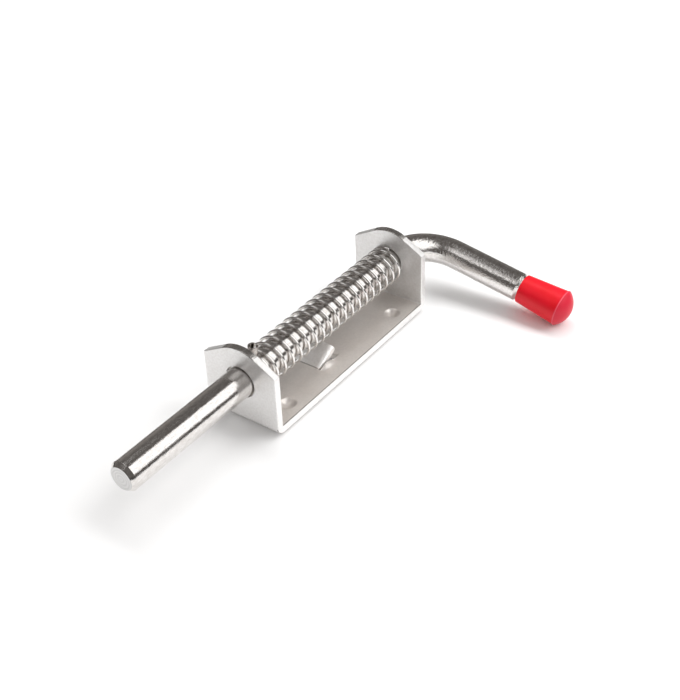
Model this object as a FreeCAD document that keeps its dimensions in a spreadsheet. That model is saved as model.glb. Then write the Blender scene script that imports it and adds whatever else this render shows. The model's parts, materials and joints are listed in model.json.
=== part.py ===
"""Spring loaded gate latch: a folded weld-on bracket, a bolt with a bent handle, its return spring,
the cross pin that the spring pushes on, and a push-on end cap.

Frame: +X along the bolt to its tip, +Y to the handle's side, +Z up. The origin is under the middle of the
base plate, in the plane of the four weld nibs that the bracket stands on.
"""

import FreeCAD
import Part
import Sketcher

import math
import os

doc = FreeCAD.newDocument("gate_latch")

# Driving dimensions, in millimetres, degrees and turns
SIZES = {
    # folded bracket
    "bracket_length": 100.0,
    "bracket_width": 33.0,
    "sheet_thickness": 3.0,
    "bend_inside_radius": 0.6,
    "axis_height": 15.5,
    "shoulder_height": 23.0,
    "crown_radius": 14.6,
    "bore_clearance": 0.5,
    # weld nibs pressed out of the base plate
    "nib_height": 1.0,
    "nib_diameter": 4.6,
    "nib_spacing_along": 70.5,
    "nib_spacing_across": 19.2,
    "dent_diameter": 5.6,
    "dent_depth": 1.5,
    # lanced tab that holds the bolt open
    "tab_width": 14.2,
    "tab_root": 12.0,
    "tab_length": 11.0,
    "tab_angle": 30.0,
    "tab_kerf": 0.4,
    # bolt and handle, bent from one bar
    "rod_diameter": 12.0,
    "tip_reach": 62.0,
    "tip_chamfer_length": 2.5,
    "tip_chamfer_depth": 1.2,
    "handle_offset": 21.0,
    "elbow_radius": 19.0,
    "handle_length": 50.8,
    "handle_droop": 9.9,
    "rod_end_chamfer": 1.2,
    "spigot_diameter": 8.0,
    "spigot_length": 14.0,
    # cross pin
    "pin_diameter": 4.0,
    "pin_wall": 0.8,
    "pin_slot": 0.9,
    "pin_chamfer": 0.35,
    "pin_reach": 14.8,
    "pin_tail": 8.0,
    "pin_tilt": 12.5,
    "pin_fit": 0.03,
    "seat_gap": 0.3,
    # return spring
    "spring_wire": 1.3,
    "spring_clearance": 0.8,
    "spring_sag": 0.48,
    "spring_lean": 0.1,
    "spring_active_turns": 17.24,
    "spring_end_turns": 1.0,
    "spring_end_gap": 1.1,
    "spring_start_angle": 11.2,
    # end cap
    "cap_root_diameter": 12.2,
    "cap_flare_diameter": 15.4,
    "cap_skirt": 18.2,
    "cap_dome": 4.2,
    "cap_edge_round": 0.8,
    "cap_fit": 0.05,
    "cap_gap": 0.3,
}

sheet = doc.addObject("Spreadsheet::Sheet", "Sizes")
for row, (alias, size) in enumerate(SIZES.items(), start=1):
    sheet.set(f"A{row}", alias)
    sheet.set(f"B{row}", str(size))
    sheet.setAlias(f"B{row}", alias)
doc.recompute()

# Places worked out from the driving dimensions, each a formula of its own
PLACES = {
    "half_length": "Sizes.bracket_length / 2",
    "half_width": "Sizes.bracket_width / 2",
    "inner_face": "half_length - Sizes.sheet_thickness",
    "base_bottom": "Sizes.nib_height",
    "base_top": "base_bottom + Sizes.sheet_thickness",
    "axis_z": "base_top + Sizes.axis_height",
    "shoulder_z": "base_top + Sizes.shoulder_height",
    "bend_outside_radius": "Sizes.bend_inside_radius + Sizes.sheet_thickness",
    "bend_end_x": "half_length - bend_outside_radius",
    "bend_end_z": "base_bottom + bend_outside_radius",
    "blank_top": "axis_z + Sizes.crown_radius + Sizes.sheet_thickness",
    "blank_side": "half_width + Sizes.sheet_thickness",
    "blank_over": "blank_top + Sizes.sheet_thickness",
    "shoulder_rise": "shoulder_z - axis_z",
    "corner_reach": "sqrt(half_width ^ 2 + shoulder_rise ^ 2)",
    "crown_angle": "atan2(half_width; shoulder_rise) - acos(Sizes.crown_radius / corner_reach)",
    "crown_end_y": "Sizes.crown_radius * sin(crown_angle)",
    "crown_end_z": "axis_z + Sizes.crown_radius * cos(crown_angle)",
    "rod_radius": "Sizes.rod_diameter / 2",
    "bore_radius": "rod_radius + Sizes.bore_clearance",
    "turning_radius": "rod_radius + Sizes.sheet_thickness",
    "nib_radius": "Sizes.nib_diameter / 2",
    "nib_ball": "(nib_radius ^ 2 + Sizes.nib_height ^ 2) / (2 * Sizes.nib_height)",
    "nib_root": "Sizes.sheet_thickness / 3",
    "dent_radius": "Sizes.dent_diameter / 2",
    "dent_ball": "(dent_radius ^ 2 + Sizes.dent_depth ^ 2) / (2 * Sizes.dent_depth)",
    "nib_x": "Sizes.nib_spacing_along / 2",
    "nib_y": "Sizes.nib_spacing_across / 2",
    "tab_end_x": "Sizes.tab_root - Sizes.tab_length * cos(Sizes.tab_angle * 1 deg)",
    "tab_end_z": "base_top + Sizes.tab_length * sin(Sizes.tab_angle * 1 deg)",
    "tab_skin_x": "Sizes.sheet_thickness * sin(Sizes.tab_angle * 1 deg)",
    "tab_skin_z": "Sizes.sheet_thickness * cos(Sizes.tab_angle * 1 deg)",
    "tab_end_low_x": "tab_end_x - tab_skin_x",
    "tab_end_low_z": "tab_end_z - tab_skin_z",
    "tab_root_low_x": "Sizes.tab_root - tab_skin_x",
    "tab_root_low_z": "base_top - tab_skin_z",
    "window_end_x": "Sizes.tab_root - Sizes.tab_length - Sizes.tab_kerf",
    "window_side": "Sizes.tab_width / 2 + Sizes.tab_kerf",
    "tip_x": "half_length + Sizes.tip_reach",
    "tip_shoulder_x": "tip_x - Sizes.tip_chamfer_length",
    "tip_radius": "rod_radius - Sizes.tip_chamfer_depth",
    "handle_x": "half_length + Sizes.handle_offset",
    "elbow_x": "handle_x - Sizes.elbow_radius",
    "rod_end_radius": "rod_radius - Sizes.rod_end_chamfer",
    "rod_end_shoulder": "Sizes.handle_length - Sizes.rod_end_chamfer",
    "spigot_radius": "Sizes.spigot_diameter / 2",
    "spigot_end": "Sizes.handle_length + Sizes.spigot_length",
    "pin_radius": "Sizes.pin_diameter / 2",
    "pin_x": "inner_face - Sizes.seat_gap - pin_radius",
    "pin_hole_radius": "pin_radius + Sizes.pin_fit",
    "pin_bore_radius": "pin_radius - Sizes.pin_wall",
    "pin_length": "Sizes.pin_reach + Sizes.pin_tail",
    "pin_tail_y": "Sizes.pin_tail * sin(Sizes.pin_tilt * 1 deg)",
    "pin_tail_z": "axis_z - Sizes.pin_tail * cos(Sizes.pin_tilt * 1 deg)",
    "pin_slot_side": "Sizes.pin_slot / 2",
    "wire_radius": "Sizes.spring_wire / 2",
    "spring_radius": "rod_radius + Sizes.spring_clearance + wire_radius",
    "spring_z": "axis_z - Sizes.spring_sag",
    "spring_front": "pin_x - pin_radius - Sizes.seat_gap - wire_radius",
    "spring_rear": "inner_face - Sizes.seat_gap - wire_radius",
    "spring_end_pitch": "Sizes.spring_wire + Sizes.spring_end_gap",
    "spring_end_rise": "spring_end_pitch * Sizes.spring_end_turns",
    "spring_active_length": "spring_front + spring_rear - 2 * spring_end_rise",
    "spring_pitch": "spring_active_length / Sizes.spring_active_turns",
    "spring_active_x": "spring_rear - spring_end_rise",
    "spring_close_x": "spring_front - spring_end_rise",
    "spring_close_turns": "Sizes.spring_end_turns + Sizes.spring_active_turns",
    "spring_active_angle": "360 - mod(360 * Sizes.spring_end_turns - Sizes.spring_start_angle; 360)",
    "spring_close_angle": "360 - mod(360 * spring_close_turns - Sizes.spring_start_angle; 360)",
    "cap_start": "Sizes.handle_length + Sizes.cap_gap",
    "cap_root_radius": "Sizes.cap_root_diameter / 2",
    "cap_flare_radius": "Sizes.cap_flare_diameter / 2",
    "cap_edge": "cap_start + Sizes.cap_skirt",
    "cap_end": "cap_edge + Sizes.cap_dome",
    "cap_ball": "(cap_flare_radius ^ 2 + Sizes.cap_dome ^ 2) / (2 * Sizes.cap_dome)",
    "cap_bore_radius": "spigot_radius + Sizes.cap_fit",
    "cap_bore_end": "spigot_end + Sizes.cap_gap",
}

places = doc.addObject("App::VarSet", "Places")
for name, formula in PLACES.items():
    kind = "App::PropertyAngle" if name.endswith("_angle") else "App::PropertyFloat"
    places.addProperty(kind, name, "Places")
    places.setExpression(name, formula)
doc.recompute()


def place(name):
    """The present value of a signed place or size, such as 'Places.tip_x' or '-Sizes.tab_root'."""
    owner, _, prop = name.lstrip("-").partition(".")
    size = float(getattr(doc.getObject(owner), prop))
    return -size if name.startswith("-") else size


def origin_plane(body, role):
    """One of a body's own origin planes."""
    return next(f for f in body.Origin.OriginFeatures if f.Role == role)


def new_body(label):
    body = doc.addObject("PartDesign::Body", label)
    body.Label = label
    return body


def new_sketch(body, name, role, at=(None, None, None), tip=None):
    """A sketch on an origin plane, moved by named places along the plane's x, y and z, and tipped by a named
    angle about its own x, its y axis going down."""
    sketch = body.newObject("Sketcher::SketchObject", name)
    sketch.AttachmentSupport = [(origin_plane(body, role), "")]
    sketch.MapMode = "FlatFace"
    angle = place(tip) if tip else 0.0
    turn = FreeCAD.Rotation(FreeCAD.Vector(-1, 0, 0), angle)
    sketch.AttachmentOffset = FreeCAD.Placement(FreeCAD.Vector(*(place(u) if u else 0.0 for u in at)), turn)
    for axis, spot in zip("xyz", at):
        if spot:
            sketch.setExpression(f"AttachmentOffset.Base.{axis}", spot)
    if tip:
        sketch.setExpression("AttachmentOffset.Rotation.Angle", tip)
    return sketch


def fix_along(sketch, kind, axis, geometry, point, name):
    """Holds one coordinate of a point at a named place, measured from the sketch's origin."""
    if name is None:
        sketch.addConstraint(Sketcher.Constraint("PointOnObject", geometry, point, axis))
        return
    size = place(name)
    ends = (-1, 1, geometry, point) if size > 0 else (geometry, point, -1, 1)
    index = sketch.addConstraint(Sketcher.Constraint(kind, *ends, abs(size)))
    flipped = name[1:] if name.startswith("-") else "-" + name
    sketch.setExpression(f"Constraints[{index}]", name if size > 0 else flipped)


def outline(sketch, corners, arcs=(), closed=True):
    """An outline through named corners, each a pair of places or None for an axis of the sketch.
    arcs maps the number of a side to its named radius, with a minus where the arc runs clockwise."""
    arcs = dict(arcs)
    spots = [FreeCAD.Vector(place(u) if u else 0.0, place(v) if v else 0.0, 0.0) for u, v in corners]
    count = len(corners)
    ends = []
    for side in range(count if closed else count - 1):
        start, end = spots[side], spots[(side + 1) % count]
        if side not in arcs:
            ends.append((sketch.addGeometry(Part.LineSegment(start, end)), 1, 2))
            continue
        radius = place(arcs[side])
        chord = end - start
        rise = math.sqrt(max(radius**2 - (chord.Length / 2) ** 2, 0.0))
        left = FreeCAD.Vector(-chord.y, chord.x, 0.0).normalize()
        centre = (start + end) * 0.5 + left * (rise if radius > 0 else -rise)
        first = math.atan2(start.y - centre.y, start.x - centre.x)
        last = math.atan2(end.y - centre.y, end.x - centre.x)
        circle = Part.Circle(centre, FreeCAD.Vector(0, 0, 1), abs(radius))
        if radius > 0:
            ends.append((sketch.addGeometry(Part.ArcOfCircle(circle, first, last)), 1, 2))
        else:
            ends.append((sketch.addGeometry(Part.ArcOfCircle(circle, last, first)), 2, 1))
    for side, (geometry, start, end) in enumerate(ends):
        u, v = corners[side]
        fix_along(sketch, "DistanceX", -2, geometry, start, u)
        fix_along(sketch, "DistanceY", -1, geometry, start, v)
        if closed or side + 1 < len(ends):
            following, following_start, _ = ends[(side + 1) % count]
            sketch.addConstraint(Sketcher.Constraint("Coincident", geometry, end, following, following_start))
        else:
            fix_along(sketch, "DistanceX", -2, geometry, end, corners[-1][0])
            fix_along(sketch, "DistanceY", -1, geometry, end, corners[-1][1])
        if side in arcs:
            index = sketch.addConstraint(Sketcher.Constraint("Radius", geometry, abs(place(arcs[side]))))
            sketch.setExpression(f"Constraints[{index}]", arcs[side].lstrip("-"))


def circle(sketch, radius, height=None):
    """A circle of a named radius, centred on the sketch's vertical axis at a named height."""
    spot = FreeCAD.Vector(0.0, place(height) if height else 0.0, 0.0)
    geometry = sketch.addGeometry(Part.Circle(spot, FreeCAD.Vector(0, 0, 1), place(radius)))
    fix_along(sketch, "DistanceX", -2, geometry, 3, None)
    fix_along(sketch, "DistanceY", -1, geometry, 3, height)
    index = sketch.addConstraint(Sketcher.Constraint("Radius", geometry, place(radius)))
    sketch.setExpression(f"Constraints[{index}]", radius)


def pad(body, sketch, length, both_ways=False):
    feature = body.newObject("PartDesign::Pad", sketch.Name + "_pad")
    feature.Profile = sketch
    feature.setExpression("Length", length)
    feature.SideType = "Symmetric" if both_ways else "One side"
    return feature


def cut_through(body, sketch):
    """A pocket through everything on both sides of its sketch."""
    feature = body.newObject("PartDesign::Pocket", sketch.Name + "_cut")
    feature.Profile = sketch
    feature.Type = "ThroughAll"
    feature.SideType = "Symmetric"
    return feature


def turn_solid(body, sketch, kind="PartDesign::Revolution", axis="V_Axis", angle=360.0):
    feature = body.newObject(kind, sketch.Name + "_turned")
    feature.Profile = sketch
    feature.ReferenceAxis = (sketch, [axis])
    feature.Angle = angle
    return feature


def bracket():
    """One strip of sheet folded into a base and two ears, with bores, a lanced tab and four weld nibs."""
    body = new_body("bracket")
    fold = new_sketch(body, "fold", "XZ_Plane")
    ear_out, ear_in, bend_x = "Places.half_length", "Places.inner_face", "Places.bend_end_x"
    top, floor, under = "Places.blank_top", "Places.base_top", "Places.base_bottom"
    bend_z, bend_r = "Places.bend_end_z", "Places.bend_outside_radius"
    corners = [
        ("-" + bend_x, under),
        (bend_x, under),
        (ear_out, bend_z),
        (ear_out, top),
        (ear_in, top),
        (ear_in, bend_z),
        (bend_x, floor),
        ("-" + bend_x, floor),
        ("-" + ear_in, bend_z),
        ("-" + ear_in, top),
        ("-" + ear_out, top),
        ("-" + ear_out, bend_z),
    ]
    inside = "-Sizes.bend_inside_radius"
    outline(fold, corners, {1: bend_r, 5: inside, 7: inside, 11: bend_r})
    pad(body, fold, "Sizes.bracket_width", both_ways=True)

    # the ears' crowns, round the bolt, with straight shoulders down to the corners
    crown = new_sketch(body, "crown", "YZ_Plane")
    side, shoulder, over = "Places.blank_side", "Places.shoulder_z", "Places.blank_over"
    edge, end_y, end_z = "Places.half_width", "Places.crown_end_y", "Places.crown_end_z"
    corners = [
        ("-" + edge, shoulder),
        ("-" + end_y, end_z),
        (end_y, end_z),
        (edge, shoulder),
        (side, shoulder),
        (side, over),
        ("-" + side, over),
        ("-" + side, shoulder),
    ]
    outline(crown, corners, {1: "-Sizes.crown_radius"})
    cut_through(body, crown)

    bore = new_sketch(body, "bore", "YZ_Plane")
    circle(bore, "Places.bore_radius", "Places.axis_z")
    cut_through(body, bore)

    window = new_sketch(body, "window", "XY_Plane")
    front, rear, side = "Sizes.tab_root", "Places.window_end_x", "Places.window_side"
    outline(window, [(rear, "-" + side), (front, "-" + side), (front, side), (rear, side)])
    cut_through(body, window)

    tab = new_sketch(body, "tab", "XZ_Plane")
    corners = [
        ("Sizes.tab_root", "Places.base_top"),
        ("Places.tab_end_x", "Places.tab_end_z"),
        ("Places.tab_end_low_x", "Places.tab_end_low_z"),
        ("Places.tab_root_low_x", "Places.tab_root_low_z"),
        ("Sizes.tab_root", "Places.base_bottom"),
    ]
    outline(tab, corners)
    pad(body, tab, "Sizes.tab_width", both_ways=True)

    for along, across, name in ((1, 1, "fl"), (1, -1, "fr"), (-1, 1, "rl"), (-1, -1, "rr")):
        x = "Places.nib_x" if along > 0 else "-Places.nib_x"
        y = "Places.nib_y" if across < 0 else "-Places.nib_y"
        nib = new_sketch(body, "nib_" + name, "XZ_Plane", (x, "Places.base_bottom", y))
        radius, root = "Places.nib_radius", "Places.nib_root"
        corners = [(None, "-Sizes.nib_height"), (radius, None), (radius, root), (None, root)]
        outline(nib, corners, {0: "Places.nib_ball"})
        turn_solid(body, nib)
        dent = new_sketch(body, "dent_" + name, "XZ_Plane", (x, "Places.base_top", y))
        radius = "Places.dent_radius"
        corners = [(None, "-Sizes.dent_depth"), (radius, None), (radius, root), (None, root)]
        outline(dent, corners, {0: "Places.dent_ball"})
        turn_solid(body, dent, "PartDesign::Groove")
    return body


def bolt_rod():
    """A round bar bent behind the rear ear into a handle, its tip and its cap's spigot turned."""
    body = new_body("bolt_rod")
    lift, droop = "Places.axis_z", "Sizes.handle_droop"
    route = new_sketch(body, "bar_route", "XY_Plane", (None, None, lift), droop)
    corners = [
        ("Places.tip_x", None),
        ("-Places.elbow_x", None),
        ("-Places.handle_x", "Sizes.elbow_radius"),
        ("-Places.handle_x", "Places.spigot_end"),
    ]
    outline(route, corners, {1: "-Sizes.elbow_radius"}, closed=False)
    section = new_sketch(body, "bar_section", "YZ_Plane", (None, lift, "Places.tip_x"))
    circle(section, "Places.rod_radius")
    bar = body.newObject("PartDesign::AdditivePipe", "bar")
    bar.Profile = section
    bar.Spine = route

    tip = new_sketch(body, "tip_chamfer", "XY_Plane", (None, None, lift))
    shoulder, end, clear = "Places.tip_shoulder_x", "Places.tip_x", "Places.turning_radius"
    rod = "Places.rod_radius"
    outline(tip, [(shoulder, rod), (end, "Places.tip_radius"), (end, clear), (shoulder, clear)])
    turn_solid(body, tip, "PartDesign::Groove", "H_Axis")

    neck = new_sketch(body, "neck", "XY_Plane", ("-Places.handle_x", None, lift), droop)
    spigot, length, end = "Places.spigot_radius", "Sizes.handle_length", "Places.spigot_end"
    corners = [
        (rod, "Places.rod_end_shoulder"),
        (clear, "Places.rod_end_shoulder"),
        (clear, end),
        (spigot, end),
        (spigot, length),
        ("Places.rod_end_radius", length),
    ]
    outline(neck, corners)
    turn_solid(body, neck, "PartDesign::Groove")

    hole = new_sketch(body, "pin_hole", "XY_Plane", ("Places.pin_x", None, lift), "Sizes.pin_tilt")
    circle(hole, "Places.pin_hole_radius")
    cut_through(body, hole)
    return body


def cross_pin():
    """A slotted spring pin through the bolt: the spring pushes on it, and it stops against the front ear."""
    body = new_body("cross_pin")
    spot = ("Places.pin_x", "-Places.pin_tail_y", "Places.pin_tail_z")
    tube = new_sketch(body, "pin_tube", "XY_Plane", spot, "Sizes.pin_tilt")
    circle(tube, "Places.pin_radius")
    circle(tube, "Places.pin_bore_radius")
    wall = pad(body, tube, "Places.pin_length")
    doc.recompute()
    ends = body.newObject("PartDesign::Chamfer", "pin_ends")
    ends.Base = (wall, rings(wall.Shape, place("Places.pin_radius")))
    ends.setExpression("Size", "Sizes.pin_chamfer")
    slot = new_sketch(body, "pin_slot", "XY_Plane", spot, "Sizes.pin_tilt")
    side, back = "Places.pin_slot_side", "-Sizes.pin_diameter"
    outline(slot, [(back, "-" + side), (None, "-" + side), (None, side), (back, side)])
    cut_through(body, slot)
    return body


def return_spring():
    """A compression spring hung loosely on the bolt, its last turns closer, from the rear ear to the pin."""
    body = new_body("return_spring")
    lift, lean = "Places.spring_z", "Sizes.spring_lean"
    end_pitch, end_turns = "Places.spring_end_pitch", "Sizes.spring_end_turns"
    pitch, turns = "Places.spring_pitch", "Sizes.spring_active_turns"
    stretches = [
        ("rear_turns", "-Places.spring_rear", "Sizes.spring_start_angle", end_pitch, end_turns),
        ("active_turns", "-Places.spring_active_x", "Places.spring_active_angle", pitch, turns),
        ("front_turns", "Places.spring_close_x", "Places.spring_close_angle", end_pitch, end_turns),
    ]
    for name, start, angle, pitch, turns in stretches:
        wire = new_sketch(body, name + "_wire", "XZ_Plane", (start, lift, lean), angle)
        circle(wire, "Places.wire_radius", "Places.spring_radius")
        coil = body.newObject("PartDesign::AdditiveHelix", name)
        coil.Profile = wire
        coil.ReferenceAxis = (wire, ["H_Axis"])
        coil.Mode = "pitch-turns-angle"
        coil.setExpression("Pitch", pitch)
        coil.setExpression("Turns", turns)
    return body


def end_cap():
    """A soft cap pushed on the handle's spigot, flaring to a domed end."""
    body = new_body("end_cap")
    spot = ("-Places.handle_x", None, "Places.axis_z")
    shell = new_sketch(body, "cap_shell", "XY_Plane", spot, "Sizes.handle_droop")
    corners = [
        ("Places.cap_bore_radius", "Places.cap_start"),
        ("Places.cap_root_radius", "Places.cap_start"),
        ("Places.cap_flare_radius", "Places.cap_edge"),
        (None, "Places.cap_end"),
        (None, "Places.cap_bore_end"),
        ("Places.cap_bore_radius", "Places.cap_bore_end"),
    ]
    outline(shell, corners, {2: "Places.cap_ball"})
    solid = turn_solid(body, shell)
    doc.recompute()
    flare = rings(solid.Shape, place("Places.cap_flare_radius"))
    root = rings(solid.Shape, place("Places.cap_root_radius"))
    rounds = body.newObject("PartDesign::Fillet", "cap_edges")
    rounds.Base = (solid, flare + root)
    rounds.setExpression("Radius", "Sizes.cap_edge_round")
    return body


def rings(shape, radius):
    """The names of a shape's circular edges of one radius."""
    names = []
    for number, edge in enumerate(shape.Edges, start=1):
        if edge.Degenerated or not isinstance(edge.Curve, Part.Circle):
            continue
        if abs(edge.Curve.Radius - radius) < 1e-6:
            names.append(f"Edge{number}")
    return names


bodies = [bracket(), bolt_rod(), cross_pin(), return_spring(), end_cap()]
doc.recompute()

# Every object must have come out sound before anything is written
for item in doc.Objects:
    if "Invalid" in item.State or "Error" in item.State:
        raise RuntimeError(f"{item.Name} failed: {item.State} {item.getStatusString()}")
for body in bodies:
    if body.Shape.isNull() or not body.Shape.isValid() or len(body.Shape.Solids) != 1:
        raise RuntimeError(f"{body.Label} is not one sound solid")

os.makedirs("parts", exist_ok=True)
for body in bodies:
    box = body.Shape.optimalBoundingBox()
    print(
        f"{body.Label:14s} {body.Shape.Volume:9.1f} mm3  x {box.XMin:7.2f} {box.XMax:7.2f}"
        f"  y {box.YMin:7.2f} {box.YMax:7.2f}  z {box.ZMin:7.2f} {box.ZMax:7.2f}"
    )
    body.Shape.exportStep(f"parts/{body.Label}.step")
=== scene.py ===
"""Looks of the spring loaded gate latch: polished bolt and spring, satin bracket and red cap.

Everything is in metres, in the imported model's frame:
+X along the bolt to its tip, +Y to the handle's side, +Z up.
"""

import json
import math

import bmesh
import bpy
from mathutils import Matrix, Vector


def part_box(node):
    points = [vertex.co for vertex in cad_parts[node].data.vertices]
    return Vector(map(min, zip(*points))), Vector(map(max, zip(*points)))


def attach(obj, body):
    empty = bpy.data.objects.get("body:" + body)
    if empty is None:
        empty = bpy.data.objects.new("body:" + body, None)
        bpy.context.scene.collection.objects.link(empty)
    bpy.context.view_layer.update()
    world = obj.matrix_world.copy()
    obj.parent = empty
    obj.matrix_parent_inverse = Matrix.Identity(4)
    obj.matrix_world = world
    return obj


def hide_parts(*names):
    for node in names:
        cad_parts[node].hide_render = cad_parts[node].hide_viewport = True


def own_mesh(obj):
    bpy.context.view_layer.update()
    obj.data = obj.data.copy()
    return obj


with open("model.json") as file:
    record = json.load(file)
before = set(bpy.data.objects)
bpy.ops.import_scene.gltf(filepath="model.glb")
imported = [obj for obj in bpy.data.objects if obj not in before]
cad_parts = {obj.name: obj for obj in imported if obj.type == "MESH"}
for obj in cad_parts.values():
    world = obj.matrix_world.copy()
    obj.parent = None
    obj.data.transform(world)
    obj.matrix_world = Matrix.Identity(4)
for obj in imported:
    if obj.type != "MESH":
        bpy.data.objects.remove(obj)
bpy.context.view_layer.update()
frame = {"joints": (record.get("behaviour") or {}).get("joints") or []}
scene = bpy.context.scene
MM = 0.001

# The photograph's frame and the camera that took it, its angles in degrees
IMAGE_HEIGHT = 700
FOCAL_PIXELS = 1181.5
CENTRE_RIGHT_PIXELS = 16.84
CENTRE_UP_PIXELS = 5.98
CAMERA_AZIMUTH = 37.75
CAMERA_ELEVATION = 36.67
CAMERA_ROLL = -2.81
CAMERA_DISTANCE = 472.1 * MM
SENSOR_MILLIMETRES = 36.0
CLIP_START = 10.0 * MM

# Sizes of the pieces that are remade here, as in the part's source
SHEET = 3.0 * MM
HALF_LENGTH = 50.0 * MM
HALF_WIDTH = 16.5 * MM
BASE_BOTTOM = 1.0 * MM
BEND_INSIDE = 0.6 * MM
SHOULDER_Z = 27.0 * MM
CROWN_RADIUS = 14.6 * MM
BORE_RADIUS = 6.5 * MM
NIB_X = 35.25 * MM
NIB_Y = 9.6 * MM
NIB_HEIGHT = 1.0 * MM
NIB_RADIUS = 2.3 * MM
DENT_DEPTH = 1.5 * MM
DENT_RADIUS = 2.8 * MM
TAB_SIDE = 7.1 * MM
TAB_ROOT = 12.0 * MM
TAB_LENGTH = 11.0 * MM
TAB_ANGLE = math.radians(30.0)
TAB_KERF = 0.4 * MM
ROD_RADIUS = 6.0 * MM
ELBOW_RADIUS = 19.0 * MM
HANDLE_LENGTH = 50.8 * MM
HANDLE_DROOP = math.radians(9.9)
ROD_END_CHAMFER = 1.2 * MM
SPIGOT_RADIUS = 4.0 * MM
SPIGOT_LENGTH = 14.0 * MM
PIN_RADIUS = 2.0 * MM
PIN_WALL = 0.8 * MM
PIN_SLOT = 0.9 * MM
PIN_CHAMFER = 0.35 * MM
PIN_REACH = 14.8 * MM
PIN_TAIL = 8.0 * MM
PIN_TILT = math.radians(12.5)
WIRE_RADIUS = 0.65 * MM
SPRING_END_TURNS = 1.0
SPRING_ACTIVE_TURNS = 17.24
SPRING_END_PITCH = 2.4 * MM
SPRING_START = math.radians(90.0 - 11.2)
CAP_ROOT_RADIUS = 6.1 * MM
CAP_FLARE_RADIUS = 7.7 * MM
CAP_SKIRT = 18.2 * MM
CAP_DOME = 4.2 * MM
CAP_BORE_RADIUS = 4.05 * MM
CAP_GAP = 0.3 * MM

# Forms that the source has plainer or not at all
TIP_CHAMFER_LENGTH = 1.65 * MM
TIP_CHAMFER_DEPTH = 1.35 * MM
WIRE_DRAWN = 0.57 * MM
COIL_SETTLE = Vector((0.0, -0.06, -0.08)) * MM
COIL_EASE_TURNS = 0.08
CAP_RIM = 0.9 * MM
CAP_RIM_STEP = 0.32 * MM
TAB_FOLD_INSIDE = 0.5 * MM
TAB_ROLL_WIDTH = 1.9 * MM
TAB_ROLL_DEPTH = 0.85 * MM
TAB_ROLL_START = 3.2 * MM
LANCE_SWELL = 1.25 * MM
LANCE_SWELL_BACK = 4.1 * MM
LANCE_SWELL_LENGTH = 4.2 * MM
LANCE_SWELL_WIDTH = 2.5 * MM
PRESS_SPREAD = 1.15
PRESS_SOFTNESS = 1.3
DENT_SOFTNESS = 0.95

# Softening that the eye sees on the real edges
SHEARED_EDGE = 0.4 * MM
SHEARED_ANGLE = math.radians(50.0)
PIN_EDGE = 0.08 * MM
PIN_EDGE_ANGLE = math.radians(30.0)
TURNED_EDGE = 0.2 * MM
MOULDED_EDGE = 0.3 * MM
CORNER_SHARE = 0.45
STRAIGHT_ANGLE = 0.01

# Places where the materials change
CROWN_START_Z = 32.2 * MM
BEND_START_X = -50.0 * MM
GRAIN_RISE = 5.0 * MM
GRAIN_FADE = 1.5 * MM
CREASE = 0.12 * MM
EDGE_REFLECTION_LINE = (0.55 * MM, 0.3 * MM)
SOFT_EDGE = 0.15 * MM
TIP_FACE = (0.15 * MM, 0.05 * MM)

# Fineness of the meshes
PRESS_GRID = 0.45 * MM
LANCE_GRID = 1.1 * MM
TAB_GRID = 2.3 * MM
PLAIN_GRID = 3.0 * MM
MARGIN_LINE = 14.6 * MM
FOOT_LINES = [41.0 * MM, 43.5 * MM]
GRID_APART = 0.2 * MM
FLAT_TOLERANCE = 0.01 * MM
ROLL_LINES = 5
BEND_STEPS = 10
TAB_FOLD_STEPS = 5
TAB_STEPS = 7
EAR_SIDE_STEPS = 5
EAR_SHOULDER_STEPS = 6
EAR_CROWN_STEPS = 32
EAR_RINGS = (0.2, 0.45, 0.7, 1.0)
ELBOW_STEPS = 48
COIL_STEPS_PER_TURN = 60
PIN_STEPS = 48
DOME_STEPS = 10
MOULDED_STEPS = 6
BAR_SEGMENTS = 96
WIRE_SEGMENTS = 20
BAR_HUB = 0.4 * MM
CAP_HUB = 0.3 * MM


def joint(name):
    return next(j for j in frame["joints"] if j["name"] == name)


AXIS_Z = joint("bolt_turn")["pos_m"][2]
DROOP = Vector((0.0, math.cos(HANDLE_DROOP), -math.sin(HANDLE_DROOP)))
OVER_DROOP = Vector((0.0, math.sin(HANDLE_DROOP), math.cos(HANDLE_DROOP)))


# Meshes


def mesh_piece(name, points, faces):
    """A smooth-shaded mesh object with its faces turned outwards."""
    mesh = bpy.data.meshes.new(name)
    mesh.from_pydata(points, [], faces)
    skin = bmesh.new()
    skin.from_mesh(mesh)
    bmesh.ops.recalc_face_normals(skin, faces=skin.faces)
    skin.to_mesh(mesh)
    skin.free()
    mesh.shade_smooth()
    mesh.update()
    piece = bpy.data.objects.new(name, mesh)
    scene.collection.objects.link(piece)
    return piece


def keep_flats(piece):
    """Normals that follow the larger faces, so that flats stay flat beside narrow rounds."""
    weigh = piece.modifiers.new("flats", "WEIGHTED_NORMAL")
    weigh.mode = "FACE_AREA"
    weigh.keep_sharp = True


def tube(name, stations, segments):
    """A closed skin round rings, each a centre, two cross directions and a radius."""
    points, faces = [], []
    for centre, across, over, radius in stations:
        for step in range(segments):
            turn = math.tau * step / segments
            points.append(centre + radius * (math.cos(turn) * across + math.sin(turn) * over))
    for ring in range(len(stations) - 1):
        for step in range(segments):
            after = (step + 1) % segments
            here, there = ring * segments, (ring + 1) * segments
            faces.append((here + step, here + after, there + after, there + step))
    last = (len(stations) - 1) * segments
    for start, end_ring in ((0, stations[0]), (last, stations[-1])):
        points.append(end_ring[0].copy())
        hub = len(points) - 1
        for step in range(segments):
            faces.append((start + step, start + (step + 1) % segments, hub))
    return mesh_piece(name, points, faces)


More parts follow.
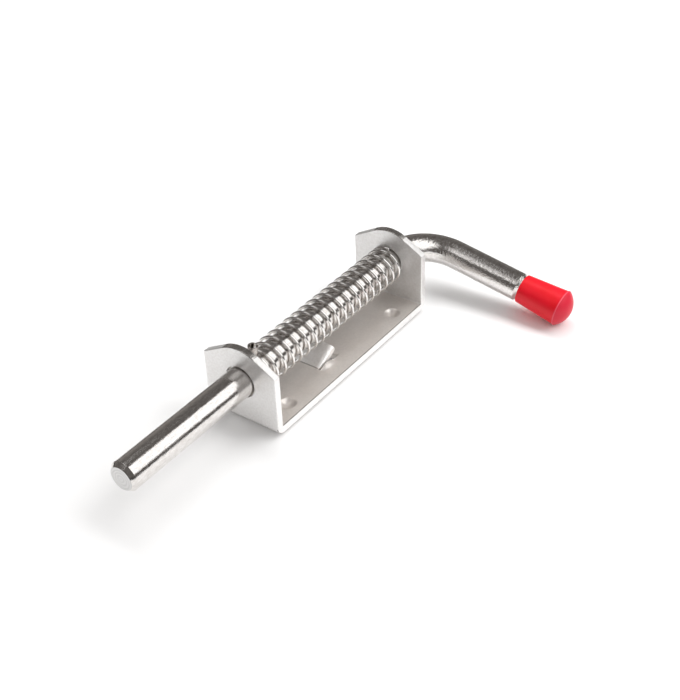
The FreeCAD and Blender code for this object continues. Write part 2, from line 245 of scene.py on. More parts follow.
def rounded(profile, radius, steps=4):
    """A profile of (along, out) points, its inner corners rounded by up to the radius."""
    corners = [Vector(p) for p in profile]
    out = [corners[0]]
    for before, corner, after in zip(corners, corners[1:], corners[2:]):
        into, away = before - corner, after - corner
        turn = into.angle(away)
        if math.pi - turn < STRAIGHT_ANGLE:
            out.append(corner)
            continue
        room = CORNER_SHARE * min(into.length, away.length)
        reach = min(radius / math.tan(turn / 2), room)
        start, end = corner + into.normalized() * reach, corner + away.normalized() * reach
        for step in range(steps + 1):
            t = step / steps
            out.append(start.lerp(corner, t).lerp(corner.lerp(end, t), t))
    out.append(corners[-1])
    return out


class Sheet:
    """A folded sheet: points of its outside, the points across its thickness, and faces."""

    def __init__(self):
        self.outside, self.inside, self.faces = [], [], []

    def point(self, x, y, z, inwards):
        """Adds a point of the outside, with the direction into the sheet there."""
        spot = Vector((x, y, z))
        self.outside.append(spot)
        self.inside.append(spot + SHEET * Vector(inwards))
        return len(self.outside) - 1

    def strip(self, here, there):
        """Faces between two rows of as many points."""
        for k in range(len(here) - 1):
            self.faces.append((here[k], here[k + 1], there[k + 1], there[k]))

    def piece(self, name):
        """The solid sheet, its edges softened and its crowns' rims in the second material."""
        count = len(self.outside)
        uses = {}
        for face in self.faces:
            for a, b in zip(face, face[1:] + face[:1]):
                key = (min(a, b), max(a, b))
                uses[key] = uses.get(key, 0) + 1
        rims = [(a, b, b + count, a + count) for (a, b), used in uses.items() if used == 1]
        backs = [tuple(i + count for i in reversed(face)) for face in self.faces]
        made = mesh_piece(name, self.outside + self.inside, self.faces + backs + rims)
        for side in made.data.polygons[len(self.faces) + len(backs):]:
            side.material_index = 1 if side.center.z > CROWN_START_Z else 0
        edges = made.modifiers.new("edges", "BEVEL")
        edges.width = SHEARED_EDGE
        edges.segments = 3
        edges.limit_method = "ANGLE"
        edges.angle_limit = SHEARED_ANGLE
        edges.use_clamp_overlap = False
        keep_flats(made)
        return made


def grid_lines(kept, fillers, apart):
    """Sorted grid lines: all the kept ones, and the fillers that stand clear of them."""
    clear = [f for f in fillers if all(abs(f - k) > apart for k in kept)]
    return sorted(kept + clear)


def both_sides(places):
    """Each place and its mirror image."""
    return [side * place for place in places for side in (-1, 1)]


def press_lines(centre, reach):
    """Close grid lines across a pressed spot, one of them through its middle."""
    steps = math.ceil(reach / PRESS_GRID)
    return [centre + PRESS_GRID * k for k in range(-steps, steps + 1)]


def hollow(distance, reach, softness=PRESS_SOFTNESS):
    """The depth of a pressed spot, from one in its middle to its edge."""
    return max(1.0 - (distance / reach) ** 2, 0.0) ** softness


def bracket_sheet():
    """One strip folded into a base and two ears, with a lanced tab, nibs and their dents."""
    sheet = Sheet()
    window_side = TAB_SIDE + TAB_KERF
    window_end = TAB_ROOT - TAB_LENGTH - TAB_KERF
    root = TAB_ROOT + TAB_FOLD_INSIDE * math.tan(TAB_ANGLE / 2)
    bend_outside = BEND_INSIDE + SHEET
    bend_x, bend_z = HALF_LENGTH - bend_outside, BASE_BOTTOM + bend_outside

    # lines of the base's grid, close together at the nibs, the tab's sides and beside the tab
    reach = DENT_RADIUS * PRESS_SPREAD
    roll = [TAB_SIDE - TAB_ROLL_WIDTH * k / ROLL_LINES for k in range(1, ROLL_LINES + 1)]
    across_kept = both_sides((TAB_SIDE, window_side, HALF_WIDTH))
    across_fill = both_sides(press_lines(NIB_Y, reach) + roll + [MARGIN_LINE])
    across_fill += [k * TAB_GRID for k in range(-2, 3)]
    across = grid_lines(across_kept, across_fill, GRID_APART)
    plain = [k * PLAIN_GRID for k in range(7, 11)]
    along_kept = [-bend_x, window_end, root, bend_x]
    along_fill = both_sides(press_lines(NIB_X, reach) + plain + FOOT_LINES)
    along_fill += [k * LANCE_GRID for k in range(-3, 18)]
    along_fill += [-k * PLAIN_GRID for k in range(2, 7)]
    along = grid_lines(along_kept, along_fill, GRID_APART)

    # rows from the rear ear's foot, round its bend, along the base and round the front bend
    curve = []
    for turn in (math.pi / 2 * k / BEND_STEPS for k in range(BEND_STEPS)):
        c, s = math.cos(turn), math.sin(turn)
        curve.append((bend_x + bend_outside * c, bend_z - bend_outside * s, c, s))
    stations = [(-x, z, (c, 0.0, s)) for x, z, c, s in curve]
    stations += [(x, BASE_BOTTOM, (0.0, 0.0, 1.0)) for x in along]
    stations += [(x, z, (-c, 0.0, s)) for x, z, c, s in reversed(curve)]
    rows = [[sheet.point(x, y, z, inwards) for y in across] for x, z, inwards in stations]
    for (x, _, _), (x_next, _, _), here, there in zip(stations, stations[1:], rows, rows[1:]):
        if window_end <= x and x_next <= root:
            left = across.index(-window_side)
            right = across.index(window_side)
            sheet.strip(here[:left + 1], there[:left + 1])
            sheet.strip(here[right:], there[right:])
        else:
            sheet.strip(here, there)

    # the nibs below, the dents above, and the sheet drawn up beside the tab
    for number in (i for row in rows for i in row):
        low, high = sheet.outside[number], sheet.inside[number]
        if low.z > BASE_BOTTOM + FLAT_TOLERANCE:
            continue
        nib = math.hypot(abs(low.x) - NIB_X, abs(low.y) - NIB_Y)
        behind = (low.x - root + LANCE_SWELL_BACK) / LANCE_SWELL_LENGTH
        beside = (abs(low.y) - window_side) / LANCE_SWELL_WIDTH
        lift = LANCE_SWELL * hollow(math.hypot(behind, beside), 1.0)
        low.z += lift - NIB_HEIGHT * hollow(nib, NIB_RADIUS * PRESS_SPREAD)
        high.z += lift - DENT_DEPTH * hollow(nib, DENT_RADIUS * PRESS_SPREAD, DENT_SOFTNESS)

    # the tab, bent up from the front edge of its window, its sides rolled down
    first, last = across.index(-TAB_SIDE), across.index(TAB_SIDE)
    row = rows[next(i for i, (x, _, _) in enumerate(stations) if x == root)][first:last + 1]
    fold = TAB_FOLD_INSIDE + SHEET
    rolled = TAB_SIDE - TAB_ROLL_WIDTH
    run = TAB_LENGTH - TAB_FOLD_INSIDE * math.tan(TAB_ANGLE / 2)
    up = (math.sin(TAB_ANGLE), 0.0, math.cos(TAB_ANGLE))
    spots = []
    for k in range(1, TAB_FOLD_STEPS + 1):
        turn = TAB_ANGLE * k / TAB_FOLD_STEPS
        c, s = math.cos(turn), math.sin(turn)
        spots.append((root - fold * s, BASE_BOTTOM + fold * (1 - c), (s, 0.0, c)))
    x, z, _ = spots[-1]
    for k in range(1, TAB_STEPS + 1):
        reach = run * k / TAB_STEPS
        spots.append((x - reach * math.cos(TAB_ANGLE), z + reach * math.sin(TAB_ANGLE), up))
    for x, z, inwards in spots:
        following = [sheet.point(x, y, z, inwards) for y in across[first:last + 1]]
        depth = TAB_ROLL_DEPTH * min((root - x) / TAB_ROLL_START, 1.0)
        for number in following:
            past = max(abs(sheet.outside[number].y) - rolled, 0.0) / TAB_ROLL_WIDTH
            sheet.inside[number] -= depth * past ** 2 * Vector(inwards)
        sheet.strip(row, following)
        row = following

    add_ear(sheet, rows[-1], across, 1)
    add_ear(sheet, rows[0], across, -1)
    return sheet.piece("bracket_sheet")


def add_ear(sheet, foot, across, end):
    """An ear on the bend's last row: straight sides, sloped shoulders, a crown and its bore."""
    rise = SHOULDER_Z - AXIS_Z
    tangent = math.atan2(HALF_WIDTH, rise) - math.acos(CROWN_RADIUS / math.hypot(HALF_WIDTH, rise))
    foot_z = sheet.outside[foot[0]].z
    corner = Vector((HALF_WIDTH, SHOULDER_Z))
    crown = [
        Vector((CROWN_RADIUS * math.sin(turn), AXIS_Z + CROWN_RADIUS * math.cos(turn)))
        for turn in (tangent * (1 - 2 * k / EAR_CROWN_STEPS) for k in range(EAR_CROWN_STEPS + 1))
    ]
    heel = Vector((HALF_WIDTH, foot_z))
    half = [heel.lerp(corner, k / EAR_SIDE_STEPS) for k in range(1, EAR_SIDE_STEPS + 1)]
    half += [corner.lerp(crown[0], k / EAR_SHOULDER_STEPS) for k in range(1, EAR_SHOULDER_STEPS)]
    rim = half + crown + [Vector((-p.x, p.y)) for p in reversed(half)]
    inwards = (-end, 0.0, 0.0)
    ring = foot + [sheet.point(end * HALF_LENGTH, y, z, inwards) for y, z in rim]
    spots = [Vector((y, foot_z)) for y in across] + rim
    middle = Vector((0.0, AXIS_Z))
    for t in EAR_RINGS:
        inner = [p.lerp(middle + (p - middle).normalized() * BORE_RADIUS, t) for p in spots]
        following = [sheet.point(end * HALF_LENGTH, y, z, inwards) for y, z in inner]
        sheet.strip(ring + ring[:1], following + following[:1])
        ring = following


def bolt_bar():
    """The bolt and its handle as one bar, from the tip round the elbow to the cap's spigot."""
    low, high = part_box("bolt_rod")
    tip_x, handle_x = high.x, low.x + ROD_RADIUS
    along = Vector((-1.0, 0.0, 0.0))
    start = Vector((tip_x, 0.0, AXIS_Z))
    straight = tip_x - handle_x - ELBOW_RADIUS
    bend = ELBOW_RADIUS * math.pi / 2
    handle = HANDLE_LENGTH - ELBOW_RADIUS

    def at(s):
        """Centre and heading of the bar at a distance from its tip."""
        if s <= straight:
            return start + along * s, along
        if s <= straight + bend:
            turn = (s - straight) / ELBOW_RADIUS
            hub = start + along * straight + DROOP * ELBOW_RADIUS
            spoke = -DROOP * math.cos(turn) + along * math.sin(turn)
            return hub + spoke * ELBOW_RADIUS, along * math.cos(turn) + DROOP * math.sin(turn)
        elbow_end = start + along * (straight + ELBOW_RADIUS) + DROOP * ELBOW_RADIUS
        return elbow_end + DROOP * (s - straight - bend), DROOP

    end = straight + bend + handle
    profile = [
        (0.0, BAR_HUB),
        (0.0, ROD_RADIUS - TIP_CHAMFER_DEPTH),
        (TIP_CHAMFER_LENGTH, ROD_RADIUS),
        (end - ROD_END_CHAMFER, ROD_RADIUS),
        (end, ROD_RADIUS - ROD_END_CHAMFER),
        (end, SPIGOT_RADIUS),
        (end + SPIGOT_LENGTH, SPIGOT_RADIUS),
        (end + SPIGOT_LENGTH, BAR_HUB),
    ]
    outline = [tuple(p) for p in rounded(profile, TURNED_EDGE)]
    bends = [(straight + bend * k / ELBOW_STEPS, ROD_RADIUS) for k in range(ELBOW_STEPS + 1)]
    split = next(i for i, (s, _) in enumerate(outline) if s > straight)
    outline[split:split] = bends
    stations = []
    for s, radius in outline:
        centre, heading = at(s)
        stations.append((centre, heading.cross(OVER_DROOP), OVER_DROOP, radius))
    piece = tube("bolt_bar", stations, BAR_SEGMENTS)
    keep_flats(piece)
    return piece


def spring_coil():
    """The return spring's wire, its closer end turns easing into the open ones."""
    low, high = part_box("return_spring")
    rear, front = low.x + WIRE_RADIUS, high.x - WIRE_RADIUS
    middle = Vector((0.0, (low.y + high.y) / 2, (low.z + high.z) / 2))
    coil_radius = (high.y - low.y) / 2 - WIRE_RADIUS
    closed = SPRING_END_TURNS * SPRING_END_PITCH
    pitch = (front - rear - 2 * closed) / SPRING_ACTIVE_TURNS
    turns = SPRING_ACTIVE_TURNS + 2 * SPRING_END_TURNS

    def reach(t):
        """Distance along the spring after a number of turns."""
        if t < SPRING_END_TURNS:
            return rear + SPRING_END_PITCH * t
        if t > SPRING_END_TURNS + SPRING_ACTIVE_TURNS:
            return front - SPRING_END_PITCH * (turns - t)
        return rear + closed + pitch * (t - SPRING_END_TURNS)

    ease = COIL_EASE_TURNS
    steps = round(turns * COIL_STEPS_PER_TURN)
    stations = []
    for step in range(steps + 1):
        t = turns * step / steps
        eased = [reach(t + ease * k) for k in (-1.0, -0.5, 0.0, 0.5, 1.0)]
        x = sum(eased) / len(eased) if ease < t < turns - ease else reach(t)
        angle = SPRING_START + math.tau * t
        out = Vector((0.0, math.cos(angle), math.sin(angle)))
        round_about = Vector((0.0, -math.sin(angle), math.cos(angle)))
        slope = Vector((pitch, 0.0, 0.0)) + math.tau * coil_radius * round_about
        centre = middle + COIL_SETTLE + Vector((x, 0.0, 0.0)) + out * coil_radius
        stations.append((centre, out, slope.normalized().cross(out), WIRE_DRAWN))
    return tube("spring_coil", stations, WIRE_SEGMENTS)


def pin_roll():
    """The slotted spring pin, a rolled tube with chamfered ends, its slot towards the spring."""
    _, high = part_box("cross_pin")
    axis = Vector((0.0, math.sin(PIN_TILT), math.cos(PIN_TILT)))
    away, side = Vector((1.0, 0.0, 0.0)), Vector((0.0, axis.z, -axis.y))
    middle = Vector((high.x - PIN_RADIUS, 0.0, AXIS_Z))
    bore = PIN_RADIUS - PIN_WALL
    steps = PIN_STEPS
    half_open = PIN_SLOT / 2
    ends = [
        (-PIN_TAIL, PIN_RADIUS - PIN_CHAMFER),
        (PIN_CHAMFER - PIN_TAIL, PIN_RADIUS),
        (PIN_REACH - PIN_CHAMFER, PIN_RADIUS),
        (PIN_REACH, PIN_RADIUS - PIN_CHAMFER),
    ]
    points, faces = [], []
    for height, radius in ends:
        for skin in (radius, bore):
            opening = math.asin(half_open / skin)
            for k in range(steps + 1):
                turn = math.pi + opening + (math.tau - 2 * opening) * k / steps
                arm = math.cos(turn) * away + math.sin(turn) * side
                points.append(middle + axis * height + arm * skin)
    loop = 2 * (steps + 1)
    order = list(range(steps + 1)) + list(reversed(range(steps + 1, loop)))
    for ring in range(len(ends) - 1):
        here, there = ring * loop, (ring + 1) * loop
        for a, b in zip(order, order[1:] + order[:1]):
            faces.append((here + a, here + b, there + b, there + a))
    for base in (0, (len(ends) - 1) * loop):
        for k in range(steps):
            faces.append((base + k, base + k + 1, base + steps + 2 + k, base + steps + 1 + k))
    piece = mesh_piece("pin_roll", points, faces)
    edges = piece.modifiers.new("edges", "BEVEL")
    edges.width = PIN_EDGE
    edges.segments = 2
    edges.limit_method = "ANGLE"
    edges.angle_limit = PIN_EDGE_ANGLE
    keep_flats(piece)
    return piece


def cap_skin():
    """The push-on cap: a flaring skirt, a soft rim and a low dome, hollow for the spigot."""
    low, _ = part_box("bolt_rod")
    root = Vector((low.x + ROD_RADIUS, 0.0, AXIS_Z))
    start = HANDLE_LENGTH + CAP_GAP
    edge = start + CAP_SKIRT
    ball = (CAP_FLARE_RADIUS**2 + CAP_DOME**2) / (2 * CAP_DOME)
    centre = edge + CAP_DOME - ball
    widest = math.asin(CAP_FLARE_RADIUS / ball)
    turns = [widest * k / DOME_STEPS for k in range(DOME_STEPS, 0, -1)]
    dome = [(centre + ball * math.cos(turn), ball * math.sin(turn)) for turn in turns]
    bore_end = HANDLE_LENGTH + SPIGOT_LENGTH + CAP_GAP
    profile = [
        (bore_end, CAP_HUB),
        (bore_end, CAP_BORE_RADIUS),
        (start, CAP_BORE_RADIUS),
        (start, CAP_ROOT_RADIUS),
        (edge - CAP_RIM, CAP_FLARE_RADIUS - CAP_RIM_STEP),
        *dome,
    ]
    outline = rounded(profile, MOULDED_EDGE, MOULDED_STEPS)
    across = Vector((1.0, 0.0, 0.0))
    stations = [(root + DROOP * s, across, OVER_DROOP, radius) for s, radius in outline]
    return tube("cap_skin", stations, BAR_SEGMENTS)


# Materials

# The part of a noise's range that is spread from nothing to one, and a narrower one
SOFT_RANGE = (0.3, 0.7)
CRISP_RANGE = (0.35, 0.65)


class Shader:
    """A node material with a principled shader and short ways to add the usual texture nodes."""

    def __init__(self, name, **values):
        self.material = bpy.data.materials.new(name)
        self.material.use_nodes = True
        self.tree = self.material.node_tree
        self.main = self.tree.nodes["Principled BSDF"]
        for socket, value in values.items():
            self.main.inputs[socket.replace("_", " ")].default_value = value
        self.place = self.tree.nodes.new("ShaderNodeTexCoord").outputs["Object"]

    def node(self, kind, **links):
        """A node with its named inputs linked to other nodes' outputs or set to plain values."""
        made = self.tree.nodes.new(kind)
        for socket, value in links.items():
            self.put(made.inputs[socket.replace("_", " ")], value)
        return made

    def put(self, socket, value):
        """Links a socket to another node's output, or sets it to a plain value."""
        if isinstance(value, bpy.types.NodeSocket):
            self.tree.links.new(value, socket)
        else:
            socket.default_value = value

    def noise(self, scale, detail=4.0, stretch=(1.0, 1.0, 1.0), roughness=0.55):
        """Fractal noise, its grain drawn out by a stretch along each axis."""
        mapping = self.node("ShaderNodeMapping", Vector=self.place, Scale=stretch)
        made = self.node("ShaderNodeTexNoise", Scale=scale, Detail=detail, Roughness=roughness)
        self.tree.links.new(mapping.outputs["Vector"], made.inputs["Vector"])
        return made.outputs["Fac"]

    def rings(self, scale, centre_z):
        """Rings round an axis along X at a height, as a cutting tool leaves them."""
        mapping = self.node("ShaderNodeMapping", Vector=self.place, Location=(0.0, 0.0, -centre_z))
        made = self.node("ShaderNodeTexWave", Scale=scale, Distortion=4.0, Detail=2.0)
        made.wave_type = "RINGS"
        made.rings_direction = "X"
        self.tree.links.new(mapping.outputs["Vector"], made.inputs["Vector"])
        return made.outputs["Fac"]

    def beyond(self, axis, start, end):
        """Nothing before a place along an axis, one past another."""
        parts = self.node("ShaderNodeSeparateXYZ", Vector=self.place)
        return self.span(parts.outputs[axis], start, end, 0.0, 1.0)

    def along(self, direction):
        """The distance along a direction."""
        made = self.tree.nodes.new("ShaderNodeVectorMath")
        made.operation = "DOT_PRODUCT"
        self.put(made.inputs[0], self.place)
        self.put(made.inputs[1], direction)
        return made.outputs["Value"]

    def within(self, axis, low, high):
        """One between two places along an axis, fading to nothing over a soft edge outside them."""
        rise = self.beyond(axis, low - SOFT_EDGE, low)
        parts = self.node("ShaderNodeSeparateXYZ", Vector=self.place)
        return self.times(rise, self.span(parts.outputs[axis], high, high + SOFT_EDGE, 1.0, 0.0))

    def times(self, one, other):
        """The product of two outputs."""
        made = self.tree.nodes.new("ShaderNodeMath")
        made.operation = "MULTIPLY"
        self.tree.links.new(one, made.inputs[0])
        self.tree.links.new(other, made.inputs[1])
        return made.outputs[0]

    def span(self, value, low, high, to_low, to_high):
        """A value carried from one range to another, held at the ends."""
        made = self.node("ShaderNodeMapRange", Value=value)
        made.inputs["From Min"].default_value = low
        made.inputs["From Max"].default_value = high
        made.inputs["To Min"].default_value = to_low
        made.inputs["To Max"].default_value = to_high
        return made.outputs["Result"]

    def shade(self, factor, dark, light):
        """A colour between two, by a factor."""
        return self.mix(factor, (*dark, 1.0), (*light, 1.0))

    def mix(self, factor, one, other):
        """A mix of two colours, each a plain value or another node's."""
        made = self.tree.nodes.new("ShaderNodeMix")
        made.data_type = "RGBA"
        self.tree.links.new(factor, made.inputs["Factor"])
        colours = [s for s in made.inputs if s.type == "RGBA"]
        self.put(colours[0], one)
        self.put(colours[1], other)
        return next(s for s in made.outputs if s.type == "RGBA")

    def relief(self, height, strength, depth, under=None):
        """A bump of a real depth, laid over another one if given."""
        made = self.node("ShaderNodeBump", Height=height, Strength=strength, Distance=depth)
        if under:
            self.tree.links.new(under, made.inputs["Normal"])
        return made.outputs["Normal"]

    def wire(self, socket, output):
        """Links an output to the principled shader."""
        self.tree.links.new(output, self.main.inputs[socket])


def satin_steel():
    """Satin plated sheet: fine grain, clouds and specks, with painted shade that makes the inner
    faces darker and warmer, a painted highlight on the tab, a painted dark line of shade in the
    tab's root crease and a painted dark reflection along the base's long edges.
    """
    s = Shader("satin_steel", Metallic=0.7)
    cloud = s.noise(110.0, 4.0)
    grain = s.noise(2600.0, 3.0)
    streak = s.noise(500.0, 3.0, (0.12, 1.0, 1.0))
    speck = s.noise(1100.0, 3.0)
    clouding = s.span(cloud, *SOFT_RANGE, 0.0, 1.0)
    # painted shade: the inner faces of the base and ears get a darker, warmer copy of the plating
    # colour
    outer = s.shade(clouding, (0.92, 0.91, 0.90), (0.97, 0.963, 0.955))
    inner = s.shade(clouding, (0.82, 0.77, 0.725), (0.88, 0.835, 0.795))
    fold = HALF_LENGTH - SHEET - 2.0 * SOFT_EDGE
    margin = HALF_WIDTH - min(EDGE_REFLECTION_LINE)
    inside = s.times(s.within("X", -fold, fold), s.within("Y", -margin, margin))
    plate = s.mix(inside, outer, inner)

    # painted highlight: the tab is brighter; painted shade: a dark line in the crease at its root
    top = BASE_BOTTOM + SHEET
    tab_width = s.within("Y", -TAB_SIDE, TAB_SIDE)
    # painted shade along the crease at the tab's root
    crease = s.times(s.within("X", TAB_ROOT - CREASE, TAB_ROOT + CREASE), tab_width)
    tab = s.times(s.within("X", TAB_ROOT - TAB_LENGTH, TAB_ROOT), tab_width)
    tab = s.times(tab, s.beyond("Z", top, top + SOFT_EDGE))
    plate = s.mix(tab, plate, (0.99, 0.975, 0.96, 1.0))

    # specks all over, and a painted dark reflection as a line along each long edge of the base
    plate = s.mix(s.span(speck, 0.4, 0.62, 0.0, 0.22), plate, (0.66, 0.63, 0.60, 1.0))
    base = s.beyond("Z", top + 2.0 * SOFT_EDGE, top + SOFT_EDGE)
    for side in (-1, 1):
        edges = sorted(side * (HALF_WIDTH - inset) for inset in EDGE_REFLECTION_LINE)
        plate = s.mix(s.times(base, s.within("Y", *edges)), plate, (0.34, 0.32, 0.30, 1.0))
    # the painted shade of the tab's root crease goes on last
    s.wire("Base Color", s.mix(crease, plate, (0.30, 0.28, 0.26, 1.0)))
    s.wire("Roughness", s.span(streak, *SOFT_RANGE, 0.3, 0.42))
    s.wire("Normal", s.relief(grain, 1.0, 0.03 * MM))
    return s.material


def cut_steel():
    """The crowns' sheared rims: bare, torn and streaked across the sheet."""
    s = Shader("cut_steel", Metallic=1.0)
    torn = s.noise(700.0, 5.0, (0.35, 1.0, 1.0), 0.7)
    bright = s.span(torn, *CRISP_RANGE, 0.0, 1.0)
    s.wire("Base Color", s.shade(bright, (0.36, 0.34, 0.32), (0.88, 0.86, 0.84)))
    s.wire("Roughness", s.span(torn, *CRISP_RANGE, 0.34, 0.2))
    s.wire("Normal", s.relief(torn, 1.0, 0.08 * MM))
    return s.material


def polished_steel():
    """Polished bar: mottled by the wheel, grainy on the bend, with turned rings on its tip."""
    s = Shader("polished_steel", Metallic=1.0)
    mottle = s.noise(1100.0, 6.0, (0.45, 1.0, 1.0), 0.7)
    speck = s.noise(1250.0, 3.0, (0.8, 0.8, 1.0))
    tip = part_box("bolt_rod")[1].x
    face = s.beyond("X", *(tip - inset for inset in TIP_FACE))
    bent = s.beyond("X", BEND_START_X, BEND_START_X - GRAIN_RISE)
    rings = s.rings(260.0, AXIS_Z)
    turned = s.times(rings, face)
    ringed = s.shade(rings, (0.53, 0.525, 0.52), (0.63, 0.625, 0.62))
    mottled = s.span(mottle, *CRISP_RANGE, 0.0, 1.0)
    bar = s.shade(mottled, (0.64, 0.61, 0.585), (0.82, 0.80, 0.785))
    s.wire("Base Color", s.mix(face, bar, ringed))
    s.wire("Roughness", s.span(mottle, 0.38, 0.7, 0.06, 0.2))
    ripple = s.relief(mottle, 1.0, 0.035 * MM)
    middle = Vector((0.0, 0.0, AXIS_Z)).dot(OVER_DROOP)
    upper = s.span(s.along(OVER_DROOP), middle - GRAIN_FADE, middle + GRAIN_FADE, 0.2, 1.0)
    grain = s.relief(speck, s.times(s.span(bent, 0.0, 1.0, 0.2, 1.0), upper), 0.13 * MM, ripple)
    s.wire("Normal", s.relief(turned, 0.25, 0.02 * MM, grain))
    return s.material


def drawn_wire():
    """Bright drawn wire: faint dull patches on a mirror."""
    s = Shader("drawn_wire", Metallic=1.0)
    patch = s.noise(900.0, 3.0)
    patchy = s.span(patch, *SOFT_RANGE, 0.0, 1.0)
    s.wire("Base Color", s.shade(patchy, (0.82, 0.80, 0.78), (0.90, 0.885, 0.87)))
    s.wire("Roughness", s.span(patch, *SOFT_RANGE, 0.05, 0.1))
    return s.material


def pin_steel():
    """The pin's spring steel, a little duller than the bar."""
    s = Shader("pin_steel", Metallic=1.0)
    patch = s.noise(1400.0, 3.0)
    patchy = s.span(patch, *SOFT_RANGE, 0.0, 1.0)
    s.wire("Base Color", s.shade(patchy, (0.38, 0.345, 0.32), (0.62, 0.585, 0.56)))
    s.wire("Roughness", s.span(patch, *SOFT_RANGE, 0.14, 0.26))
    return s.material


def red_plastic():
    """Soft red plastic with a low gloss and a faint pebbled skin, with a painted highlight that
    makes its rim paler and painted shade that makes its dome darker.
    """
    s = Shader("red_plastic", Specular_IOR_Level=0.32)
    cloud = s.noise(160.0, 2.0)
    pebble = s.noise(2200.0, 2.0)
    low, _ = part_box("bolt_rod")
    root = Vector((low.x + ROD_RADIUS, 0.0, AXIS_Z))
    edge = root.dot(DROOP) + HANDLE_LENGTH + CAP_GAP + CAP_SKIRT
    reach = s.along(DROOP)
    dome = s.span(reach, edge, edge + SOFT_EDGE, 0.0, 1.0)
    rim = s.times(
        s.span(reach, edge - 2.0 * SOFT_EDGE, edge - SOFT_EDGE, 0.0, 1.0),
        s.span(reach, edge + SOFT_EDGE, edge + 2.0 * SOFT_EDGE, 1.0, 0.0),
    )
    clouding = s.span(cloud, *SOFT_RANGE, 0.0, 1.0)
    skin = s.shade(clouding, (0.86, 0.006, 0.016), (0.94, 0.009, 0.028))
    # painted shade: the dome is given a darker red
    skin = s.mix(dome, skin, (0.70, 0.017, 0.045, 1.0))
    # painted highlight: a paler pink line round the rim
    s.wire("Base Color", s.mix(rim, skin, (0.90, 0.10, 0.15, 1.0)))
    s.wire("Roughness", s.span(pebble, *SOFT_RANGE, 0.36, 0.46))
    s.wire("Normal", s.relief(pebble, 0.2, 0.02 * MM))
    return s.material


def dress(piece, *materials):
    """Gives a piece its materials, in the order of its faces' numbers."""
    for material in materials:
        piece.data.materials.append(material)


# The stage

ROOM_TINT = (1.0, 0.935, 0.89, 1.0)
ROOM_DARK = 0.142
ROOM_PALE = 0.26
ROOM_PALE_SIDE = (-0.5, -0.7, -0.5)
ROOM_PALE_START = 0.34
ROOM_PALE_END = 0.72
FLOOR_WHITE = 0.9
FLOOR_LIFT = 0.06
FLOOR_HALF = 3.0
# painted shade and a painted glow that the floor shows only in reflections
FLOOR_FAR_SHADE = 0.35
FLOOR_SHADE_START = -0.05
FLOOR_SHADE_END = -0.10
FLOOR_MIRROR_LIFT = 0.12
BOARD_EDGE = 0.17
BOARD_END = 0.20
BOARD_OUTSIDE_SHADE = 0.05

# Each lamp's azimuth and elevation in degrees, distance, width, height and brightness
LAMPS = {
    "key_softbox": (105.0, 43.0, 1.6, 2.8, 1.65, 1.35),
    "front_panel": (-28.0, 61.0, 1.5, 0.9, 0.8, 0.4),
    "front_strip": (-28.0, 52.0, 1.45, 0.8, 0.22, 1.0),
    "overhead_panel": (-90.0, 69.0, 1.5, 1.3, 0.6, 0.34),
    "top_softbox": (175.0, 66.0, 1.2, 2.6, 0.5, 4.4),
}
UNMIRRORED_LAMP = "top_softbox"


def direction(azimuth, elevation):
    """A unit vector, azimuth from +X towards +Y, both in degrees."""
    a, e = math.radians(azimuth), math.radians(elevation)
    return Vector((math.cos(a) * math.cos(e), math.sin(a) * math.cos(e), math.sin(e)))


def place_camera():
    """The photograph's camera, looking at the frame's origin with a shifted picture."""
    back = direction(CAMERA_AZIMUTH, CAMERA_ELEVATION)
    side = Vector((-back.y, back.x, 0.0)).normalized()
    up = back.cross(side)
    c, s = math.cos(math.radians(CAMERA_ROLL)), math.sin(math.radians(CAMERA_ROLL))
    right, top = c * side + s * up, c * up - s * side
    data = bpy.data.cameras.new("camera")
    data.sensor_fit = "AUTO"
    data.sensor_width = SENSOR_MILLIMETRES
    data.lens = FOCAL_PIXELS * data.sensor_width / IMAGE_HEIGHT
    data.shift_x = CENTRE_RIGHT_PIXELS / IMAGE_HEIGHT
    data.shift_y = CENTRE_UP_PIXELS / IMAGE_HEIGHT
    data.clip_start = CLIP_START
    camera = bpy.data.objects.new("camera", data)
    turn = Matrix((right, top, back)).transposed().to_4x4()
    camera.matrix_world = Matrix.Translation(back * CAMERA_DISTANCE) @ turn
    scene.collection.objects.link(camera)
    scene.camera = camera


def softbox(name, azimuth, elevation, distance, width, height, radiance):
    """A rectangular lamp that faces the object, set by the brightness of its face."""
    data = bpy.data.lights.new(name, "AREA")
    data.shape = "RECTANGLE"
    data.size, data.size_y = width, height
    data.energy = radiance * math.pi * width * height
    lamp = bpy.data.objects.new(name, data)
    towards = direction(azimuth, elevation)
    lamp.location = towards * distance
    lamp.rotation_euler = towards.to_track_quat("Z", "Y").to_euler()
    scene.collection.objects.link(lamp)
    return lamp


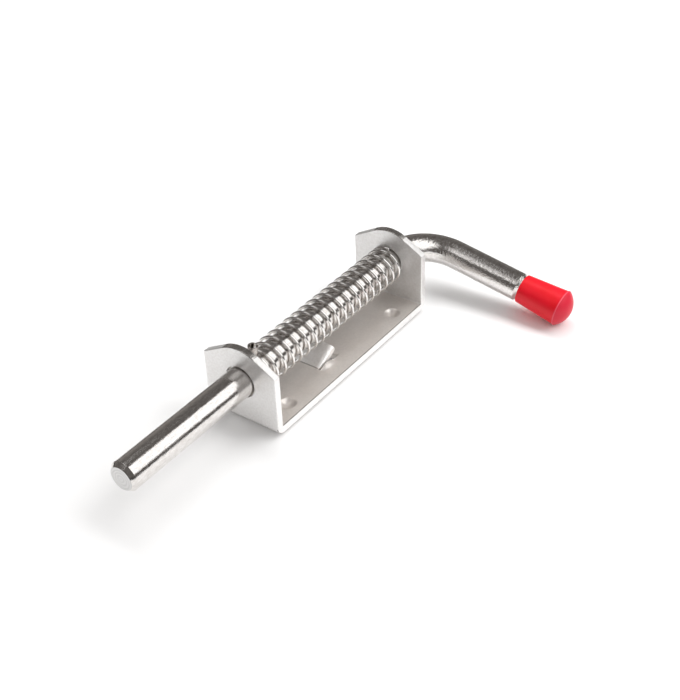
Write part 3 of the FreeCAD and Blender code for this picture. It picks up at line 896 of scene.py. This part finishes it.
def floor():
    """A white sheet that takes the shadows; for the metal's reflections it carries painted shade,
    darker towards the back left and dark past a nearby edge, and a painted glow.
    """
    h = FLOOR_HALF
    sheet = mesh_piece("floor", [(-h, -h, 0), (h, -h, 0), (h, h, 0), (-h, h, 0)], [(0, 1, 2, 3)])
    s = Shader(
        "white_sheet",
        Base_Color=(FLOOR_WHITE, FLOOR_WHITE, FLOOR_WHITE, 1.0),
        Roughness=0.6,
        Specular_IOR_Level=0.1,
        Emission_Color=(1.0, 1.0, 1.0, 1.0),
        Emission_Strength=FLOOR_LIFT,
    )
    # painted shade for reflected rays: darker towards the back left and dark past a nearby edge
    parts = s.node("ShaderNodeSeparateXYZ", Vector=s.place)
    ahead = s.node("ShaderNodeMath")
    s.put(ahead.inputs[0], parts.outputs["X"])
    s.put(ahead.inputs[1], parts.outputs["Y"])
    shades = (FLOOR_FAR_SHADE, FLOOR_WHITE)
    mirrored_shade = s.span(ahead.outputs[0], FLOOR_SHADE_END, FLOOR_SHADE_START, *shades)
    away = s.node("ShaderNodeVectorMath", Vector=s.place)
    away.operation = "LENGTH"
    board_shade = s.span(away.outputs["Value"], BOARD_EDGE, BOARD_END, 1.0, BOARD_OUTSIDE_SHADE)
    mirrored_shade = s.times(mirrored_shade, board_shade)
    # painted glow: the floor is brighter for glossy rays only
    path = s.node("ShaderNodeLightPath")
    sheen = s.span(path.outputs["Is Glossy Ray"], 0.0, 1.0, 0.0, FLOOR_MIRROR_LIFT)
    glow = s.node("ShaderNodeEmission", Color=mirrored_shade, Strength=sheen)
    dull = s.node("ShaderNodeBsdfDiffuse", Color=mirrored_shade)
    mirrored = s.node("ShaderNodeAddShader")
    s.put(mirrored.inputs[0], dull.outputs["BSDF"])
    s.put(mirrored.inputs[1], glow.outputs["Emission"])
    pick = s.node("ShaderNodeMixShader", Fac=path.outputs["Is Camera Ray"])
    s.put(pick.inputs[1], mirrored.outputs["Shader"])
    s.put(pick.inputs[2], s.main.outputs["BSDF"])
    s.put(s.tree.nodes["Material Output"].inputs["Surface"], pick.outputs["Shader"])
    dress(sheet, s.material)


def surroundings():
    """A dim warm room, paler low down on the side away from the handle."""
    world = bpy.data.worlds.new("room")
    scene.world = world
    world.use_nodes = True
    back = world.node_tree.nodes["Background"]
    back.inputs["Color"].default_value = ROOM_TINT
    nodes, links = world.node_tree.nodes, world.node_tree.links
    place = nodes.new("ShaderNodeTexCoord")
    towards = nodes.new("ShaderNodeVectorMath")
    towards.operation = "DOT_PRODUCT"
    towards.inputs[1].default_value = ROOM_PALE_SIDE
    radiance = nodes.new("ShaderNodeMapRange")
    radiance.inputs["From Min"].default_value = ROOM_PALE_START
    radiance.inputs["From Max"].default_value = ROOM_PALE_END
    radiance.inputs["To Min"].default_value = ROOM_DARK
    radiance.inputs["To Max"].default_value = ROOM_PALE
    links.new(place.outputs["Generated"], towards.inputs[0])
    links.new(towards.outputs["Value"], radiance.inputs["Value"])
    links.new(radiance.outputs["Result"], back.inputs["Strength"])


def main():
    """Builds the pieces, hangs them on their bodies and sets the stage."""
    made = [
        (bracket_sheet(), (satin_steel(), cut_steel()), "bracket", "bracket", "bracket"),
        (bolt_bar(), (polished_steel(),), "bolt", "bolt_rod", "bolt"),
        (pin_roll(), (pin_steel(),), "bolt", "cross_pin", "pin"),
        (spring_coil(), (drawn_wire(),), "spring", "return_spring", "spring"),
        (cap_skin(), (red_plastic(),), "bolt", "end_cap", "cap"),
    ]
    for piece, materials, body, node, slot in made:
        dress(piece, *materials)
        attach(piece, body)
        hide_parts(node)
    coil = next(piece for piece, _, _, node, _ in made if node == "return_spring")
    cap = next(piece for piece, _, _, node, _ in made if node == "end_cap")
    cap.visible_glossy = False
    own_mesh(coil)

    place_camera()
    for name, setting in LAMPS.items():
        lamp = softbox(name, *setting)
        lamp.visible_glossy = name != UNMIRRORED_LAMP
    floor()
    surroundings()
    scene.view_settings.view_transform = "Standard"


main()
